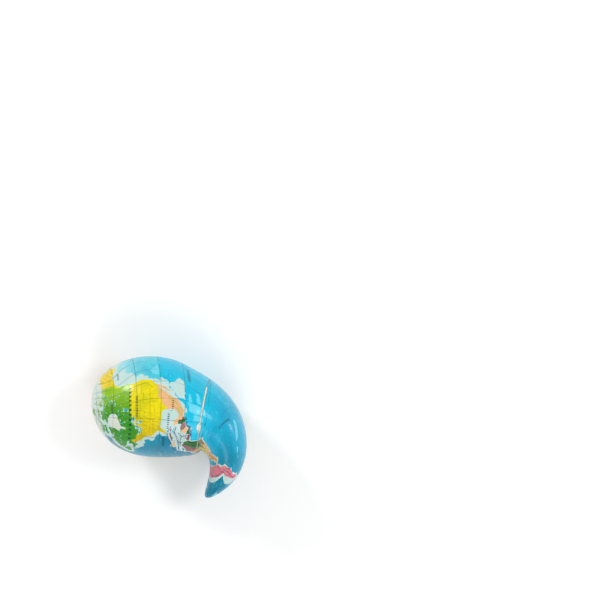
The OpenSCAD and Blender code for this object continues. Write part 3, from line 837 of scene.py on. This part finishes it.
def landInks(w, at, color, tone):
    # one ink after another, each a little past its outline so that neighbours meet, then an olive mottle
    strayed = w.plus(at["lon"], w.times(at["wobble"], look["westWobble"]))
    greens = w.mix(w.step(strayed, *look["westToEast"]), color["west"], color["east"])
    yellows = w.mix(w.step(at["lon"], *look["yellowToAmber"]), color["yellow"], color["amber"])
    held = {"inkGreen": greens, "inkYellow": yellows, "inkPeach": color["peach"],
            "inkDarkGreen": color["darkGreen"], "inkMaroon": color["maroon"], "inkPink": color["pink"],
            "inkOrange": color["orange"]}
    for ink, shade in held.items():
        edge = w.plus(w.read(ink), w.times(at["ragged"], look["inkRagged"]))
        tone = w.mix(w.step(edge, *look["inkEdge"]), tone, shade)
    mottle = w.step(w.noise(at["globe"], 9, 4), *look["mottle"])
    return w.mix(w.times(at["onLand"], mottle), tone, color["mottle"])


def northernLand(w, at, color, tone):
    # small lakes from two noises and the great lakes from their outlines, ice over the far north, and a
    # hatched corner
    small = w.most(w.step(w.noise(at["globe"], 48, 2, 0.5), 0.62, 0.65),
                   w.step(w.noise(at["globe"], 19, 3), 0.66, 0.69))
    north = w.times(w.step(at["lat"], *look["lakesNorth"]), w.step(at["lon"], *look["lakesEast"]))
    shore = w.plus(w.read("lakeShore"), w.times(at["ragged"], look["lakeRagged"]))
    water = w.most(w.times(small, north, at["onLand"]), w.step(shore, *look["lakeEdge"]))
    lakeTone = w.mix(w.step(w.noise(at["globe"], 40, 1), 0.4, 0.6), color["lake"], color["shelf"])
    tone = w.mix(water, tone, lakeTone)
    frozen = w.times(w.step(at["uneven"], *look["frozenNorth"]),
                     w.step(w.noise(at["globe"], 22, 4, 0.6), 0.44, 0.54))
    tone = w.mix(w.times(frozen, look["frozenShare"]), tone, color["ice"])
    slanted = w.times(w.plus(at["lon"], w.times(at["lat"], look["hatchLean"])), look["hatchWaves"])
    stripes = w.step(w.math("SINE", slanted), 0.1, 0.3)
    corner = w.times(w.step(at["lon"], *look["hatchWest"]), w.step(w.read("inkYellow"), 0, -0.2))
    return w.mix(w.times(corner, stripes, look["hatchShare"]), tone, color["hatch"])


def gridLine(w, value, narrow):
    # a line at every whole step of degrees: the distance to it rises and falls with the value, times how
    # narrow a degree is there; no line is wider than half a step
    half = look["gridEvery"] / 2
    turned = w.plus(value, 180)
    away = w.times(w.math("PINGPONG", turned, half), narrow)
    odd = w.math("MODULO", w.math("ROUND", w.math("DIVIDE", turned, half)), 2)
    return w.times(w.step(away, *look["gridEdge"]), w.step(odd, 0.6, 0.4))


def drawnLines(w, at, color, tone):
    # thin lines where a distance is small: states, the inks' borders, the graticule and dashed tracks at
    # sea
    state = w.times(w.step(w.read("stateLine"), *look["stateEdge"]), at["onLand"], look["stateShare"])
    tone = w.mix(state, tone, color["stateLine"])
    inland = w.step(at["land"], *look["inland"])
    for ink in ("inkGreen", "inkPeach", "inkDarkGreen", "inkMaroon", "inkOrange"):
        border = w.step(w.aside(w.read(ink), look["borderAt"]), *look["borderEdge"])
        tone = w.mix(w.times(border, inland, look["borderShare"]), tone, color["dark"])
    meridians = gridLine(w, at["lon"], w.math("COSINE", w.math("RADIANS", at["lat"])))
    meridians = w.times(meridians, w.step(w.aside(at["lat"]), *look["gridPole"]))
    grid = w.most(gridLine(w, at["lat"], 1.0), meridians)
    worn = w.times(w.step(w.noise(at["globe"], 12, 3), 0.36, 0.52, 0.35, 1),
                   w.step(at["lat"], *look["gridSouth"]))
    gridTone = w.mix(at["onLand"], color["line"], color["landGrid"])
    tone = w.mix(w.times(grid, worn, look["gridShare"]), tone, gridTone)
    dashes = w.step(w.noise(at["globe"], 60, 1), 0.4, 0.44)
    atSea = w.times(w.step(w.read("seaLine"), *look["seaLineEdge"]), dashes, look["seaLineShare"])
    return w.mix(atSea, tone, color["seaLine"])


def darkMarks(w, at, color, tone):
    # the long border in bold dots, and the rows of blank marks, both cut up by a sine of longitude
    along = w.times(w.step(at["lon"], *look["dotWest"]), w.step(at["lon"], *look["dotEast"]))
    dots = w.step(w.math("SINE", w.times(at["lon"], look["dotWaves"])), 0.1, 0.4)
    dots = w.times(dots, along, w.step(w.aside(at["lat"], look["dotLat"]), *look["dotEdge"]))
    row = w.times(w.step(w.aside(w.read("markAlong")), 1.03, 0.99),
                  w.step(w.aside(w.read("markAcross")), 1.05, 0.75))
    beads = w.step(w.math("SINE", w.times(at["lon"], look["markWaves"])), -0.55, -0.25)
    row = w.times(row, beads, w.step(w.noise(at["globe"], 90, 1), 0.34, 0.42))
    return w.mix(w.times(w.most(dots, row), look["markShare"]), tone, color["dark"])


def wornInkAndSheen(w, at, color, tone):
    # hairline cracks between noisy cells near the fold, showing the bare skin, and a few flecks in the bare
    # tone that are partly rubbed ink and partly painted highlight
    cells = w.add("ShaderNodeTexVoronoi", feature="DISTANCE_TO_EDGE")
    w.wire(w.scaled(at["globe"], look["crackScale"]), cells.inputs["Vector"])
    nearFold = w.times(w.step(w.aside(at["lat"]), *look["crackLat"]),
                       w.step(w.aside(at["lon"], look["crackAt"]), *look["crackLon"]))
    cracks = w.times(w.step(cells.outputs["Distance"], *look["crackEdge"]),
                     w.step(w.noise(at["globe"], 9, 3), 0.45, 0.6))
    tone = w.mix(w.times(cracks, nearFold, look["crackShare"]), tone, color["bare"])
    # flecks in the bare tone: rubbed ink and painted highlight
    rubbedAndSheen = w.step(w.noise(at["globe"], 30, 8, 0.72), *look["rubbedAndSheen"])
    return w.mix(w.times(rubbedAndSheen, look["rubbedAndSheenShare"]), tone, color["bare"])


def printFinish(name):
    # the sea with its painted sheen and shade, then land, lines, marks, and wear with painted highlight
    # over it, as a semi-gloss ink on a faintly pebbled skin
    w = Weave(name)
    color = inkColors()
    at = printPlaces(w)
    tone = seaTint(w, at, color)
    for laid in (shelvesAndIce, landInks, northernLand, drawnLines, darkMarks, wornInkAndSheen):
        tone = laid(w, at, color, tone)
    w.wire(tone, w.shader.inputs["Base Color"])
    w.wire(w.step(w.noise(at["globe"], 22, 4), 0.3, 0.7, 0.26, 0.4), w.shader.inputs["Roughness"])
    pebbles = w.times(w.noise(at["globe"], 150, 3), 0.35)
    w.bump(w.plus(pebbles, w.noise(at["globe"], 16, 5, 0.6)), 0.2, 0.0004)
    w.finish(Specular_IOR_Level=0.12, Coat_Weight=0.28, Coat_Roughness=0.14)
    print("finish", name, w.count, "nodes")
    return w.material


# bare polyurethane: light and dark tone, cells across the globe, bump strength, roughness
skinLook = {"tone": (243, 244, 234), "shade": (214, 208, 180), "cells": 160, "bump": 0.2, "rough": 0.42}
foamLook = {"tone": (236, 228, 200), "shade": (222, 210, 178), "cells": 70, "bump": 0.8, "rough": 0.75}


def foamFinish(name, finish):
    # two close creams by a noise, with a pattern of cells for the bump and the roughness
    w = Weave(name)
    globe = w.read("globe", True)
    cells = w.add("ShaderNodeTexVoronoi")
    w.wire(globe, cells.inputs["Vector"])
    cells.inputs["Scale"].default_value = finish["cells"]
    share = w.step(w.noise(globe, finish["cells"] / 6, 4), 0.35, 0.65)
    tone = w.mix(share, toLinear(*finish["tone"]), toLinear(*finish["shade"]))
    w.wire(tone, w.shader.inputs["Base Color"])
    w.bump(cells.outputs["Distance"], finish["bump"], 0.0003)
    rough = w.step(cells.outputs["Distance"], 0, 0.6, finish["rough"], finish["rough"] + 0.12)
    w.wire(rough, w.shader.inputs["Roughness"])
    w.finish(Subsurface_Weight=0.06, Subsurface_Scale=0.002)
    print("finish", name, w.count, "nodes")
    return w.material


def fullTurn(count):
    # evenly spaced turns in degrees, from behind
    return np.arange(count) * 360 / count - 180


film = {
    "thick": 0.35, "turns": 480, "rows": 150, "innerRows": 24, "gateLat": 86.6,
    # half the bare band, in degrees, and the turns between which it is open
    "closed": 0.14, "open": 0.6, "openFrom": -42, "openTo": 37, "fadeIn": 6, "fadeOut": 8,
    "wander": ((7, 0, 0.07), (19, 60, 0.05)), "ragged": ((41, 90, 0.05), (67, 0, 0.04)),
    "tearAt": -8.5, "tearWide": 4.2, "tearNorth": 1.9, "tearSouth": 1.6,
}


def bareHalf(turns):
    # half the bare band at the equator, in degrees: a hairline behind, opened where the squeezing pulls,
    # with a wander
    into = eased((turns - film["openFrom"] + film["fadeIn"]) / film["fadeIn"])
    out = eased((film["openTo"] + film["fadeOut"] - turns) / film["fadeOut"])
    return film["closed"] + (film["open"] + ripple(turns, film["wander"])) * into * out


def filmEdge(turns, tear):
    # the film's edge: the bare band with a ragged rim, plus a tear of bell shape at one place; the coarse
    # raggedness is shifted in proportion to the tear, so that the two films differ
    coarse, fine = film["ragged"]
    ragged = ripple(turns, ((coarse[0], coarse[1] * tear, coarse[2]), fine))
    bell = np.exp(-np.abs((turns - film["tearAt"]) / film["tearWide"]) ** 3)
    return bareHalf(turns) * (1 + ragged) + tear * bell


def printFilm(name, low, high, outerShare, innerShare, **poles):
    # rows at the surface from the low latitude to the high one, then fewer rows back at the film's
    # thickness
    span = high - low
    rise = np.linspace(*outerShare, film["rows"])[:, None]
    back = np.linspace(*innerShare, film["innerRows"])[:, None]
    lats = low + span * np.concatenate([rise, back])
    depths = np.concatenate([0 * rise, 0 * back + film["thick"]]) + 0 * lats
    piece, lat, turn = turnedPiece(name, lats, depths, fullTurn(film["turns"]), **poles)
    printMap(piece, lat, turn)
    return piece


def northPrint():
    # from the bare band to the gate
    edge = filmEdge(fullTurn(film["turns"]), film["tearNorth"])
    return printFilm("north_print_film", edge, film["gateLat"], (0, 1), (1, 0), loop=True)


def southPrint():
    # from the south pole, closed by one point on each side, to the bare band
    edge = -filmEdge(fullTurn(film["turns"]), film["tearSouth"])
    return printFilm("south_print_film", -90, edge, (0.008, 1), (1, 0.03),
                     firstPole=(-90, 0), lastPole=(-90, film["thick"]))


body = {"skinTop": 0.45, "skinLow": 1.85, "coreTop": 1.95, "turns": 180, "rows": 90, "ringLat": 88}


def bodyRows(high):
    # latitudes of evenly spaced rows from the ring next to the south pole
    return np.linspace(-body["ringLat"], high, body["rows"])[:, None] + np.zeros(body["turns"])


def mouldedSkin():
    # rows up the outside at the skin's top depth and back down the inside at its low depth
    up = bodyRows(film["gateLat"])
    lats = np.concatenate([up, up[::-1]])
    depths = np.concatenate([0 * up + body["skinTop"], 0 * up + body["skinLow"]])
    return turnedPiece("moulded_skin_shell", lats, depths, fullTurn(body["turns"]),
                       firstPole=(-90, body["skinTop"]), lastPole=(-90, body["skinLow"]))[0]


def foamCore():
    # rows from pole to pole at one depth
    up = bodyRows(body["ringLat"])
    return turnedPiece("foam_core_body", up, 0 * up + body["coreTop"], fullTurn(body["turns"]),
                       firstPole=(-90, body["coreTop"]), lastPole=(90, body["coreTop"]))[0]


# share of the bare band that the ridge fills, and its depths below the surface
flash = {"share": 0.8, "turns": 360, "across": 9, "low": 0.44, "high": 0.12, "gap": 0.005,
         "ragged": ((23, 0, 0.06), (57, 20, 0.05))}


def partingFlash():
    # a low ridge round the equator: a half cosine across, with a ragged trimmed top
    turns = fullTurn(flash["turns"])
    across = np.linspace(-1, 1, flash["across"])[:, None]
    rise = np.cos(across * math.pi / 2)
    top = flash["low"] - (flash["low"] - flash["high"] + ripple(turns, flash["ragged"])) * rise
    half = flash["share"] * bareHalf(turns)
    lats = np.concatenate([across * half, across[::-1] * half])
    depths = np.concatenate([top, 0 * top + flash["low"] + flash["gap"]])
    return turnedPiece("parting_flash_ridge", lats, depths, turns, loop=True)[0]


plug = {"edgeLat": 87, "innerLat": 89.6, "turns": 72, "rows": 9, "low": 1.8, "rim": 0.1, "dish": 0.16,
        "rimAt": 0.12, "rimWide": 0.1, "dishPush": 1.6}


def gatePlug():
    # a trimmed stub: a shallow dish, eased from the rim to the middle, less a bell-shaped rise at the rim
    inward = np.linspace(0, 1, plug["rows"])[:, None] + np.zeros(plug["turns"])
    up = plug["edgeLat"] + (plug["innerLat"] - plug["edgeLat"]) * inward
    lats = np.concatenate([up[::-1], up])
    rim = plug["rim"] * np.exp(-((inward - plug["rimAt"]) / plug["rimWide"]) ** 2)
    dish = plug["rim"] + plug["dish"] * eased(inward * plug["dishPush"]) - rim
    depths = np.concatenate([0 * dish + plug["low"], dish])
    return turnedPiece("gate_plug_stub", lats, depths, fullTurn(plug["turns"]),
                       firstPole=(90, plug["low"]), lastPole=(90, plug["rim"] + plug["dish"]))[0]


def settle(piece, material, node):
    # the material, and the node that the piece stands for, which is hidden; the transform is baked into the
    # mesh
    piece.data.materials.append(material)
    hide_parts(node)
    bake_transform(piece)
    print("piece", piece.name, len(piece.data.polygons), "faces")
    return piece


# the print carries painted sheen and shade in its sea and painted highlight in its pale patches
ink = printFinish("printed_ink_and_painted_light")
bare = foamFinish("bare_moulded_skin", skinLook)
openCells = foamFinish("open_cell_foam", foamLook)
settle(northPrint(), ink, "north_film")
settle(southPrint(), ink, "south_film")
settle(mouldedSkin(), bare, "moulded_skin")
core = settle(foamCore(), openCells, "foam_core")
settle(partingFlash(), bare, "parting_flash")
settle(gatePlug(), bare, "gate_plug")

studio = {
    "floor": (250, 250, 250), "floorShade": (238, 238, 237), "floorSize": 6, "floorDrop": 0.0002,
    "aimHeight": 0.02,
    "view": 0.27, "lens": 100, "offCentre": (0.0593, 0.049), "height": 0.023, "sky": 0.66,
    # name, place, width and watts of each lamp
    "lights": (("key", (-0.57, 0.58, 0.46), 0.2, 3.0), ("fill", (0.6, 0.2, 0.7), 0.3, 2.0),
               ("front", (0.1, -0.5, 0.6), 0.4, 1.6), ("glint", (0.6, 0.06, 0.04), 0.1, 0.4)),
}


def makeFloor():
    # a wide sheet of paper, a hair below the ball's flat, in two close whites
    bpy.ops.mesh.primitive_plane_add(size=studio["floorSize"], location=(0, 0, -studio["floorDrop"]))
    floor = bpy.context.object
    floor.name = "studio_floor"
    w = Weave("studio_floor_paper")
    where = w.add("ShaderNodeTexCoord").outputs["Object"]
    share = w.step(w.noise(where, 6, 2), 0.3, 0.7, 0, 0.3)
    paper = w.mix(share, toLinear(*studio["floor"]), toLinear(*studio["floorShade"]))
    w.wire(paper, w.shader.inputs["Base Color"])
    w.finish(Roughness=0.7)
    floor.data.materials.append(w.material)


def makeLights():
    # each lamp is a disk turned to the middle of the ball; the sky is an even white
    for name, place, size, power in studio["lights"]:
        data = bpy.data.lights.new(name, "AREA")
        data.shape, data.size, data.energy = "DISK", size, power
        lamp = bpy.data.objects.new(name, data)
        scene.collection.objects.link(lamp)
        lamp.location = place
        x, y, z = (-place[0], -place[1], studio["aimHeight"] - place[2])
        lamp.rotation_euler = (math.atan2(math.hypot(x, y), -z), 0, math.atan2(x, -y) + math.pi)
    world = bpy.data.worlds.new("studio")
    world.use_nodes = True
    sky = world.node_tree.nodes["Background"]
    sky.inputs[0].default_value = (1, 1, 1, 1)
    sky.inputs[1].default_value = studio["sky"]
    scene.world = world
    scene.view_settings.view_transform = "Standard"


def makeCamera():
    # straight down, from as far as makes the view's width fall at the ball's middle height: width times
    # lens over sensor
    data = bpy.data.cameras.new("camera")
    data.lens = studio["lens"]
    away = studio["view"] * data.lens / data.sensor_width
    camera = bpy.data.objects.new("camera", data)
    scene.collection.objects.link(camera)
    camera.location = (*studio["offCentre"], studio["height"] + away)
    camera.rotation_euler = (0, 0, 0)
    scene.camera = camera


makeFloor()
makeLights()
makeCamera()
print("studio:", len(studio["lights"]), "lamps")
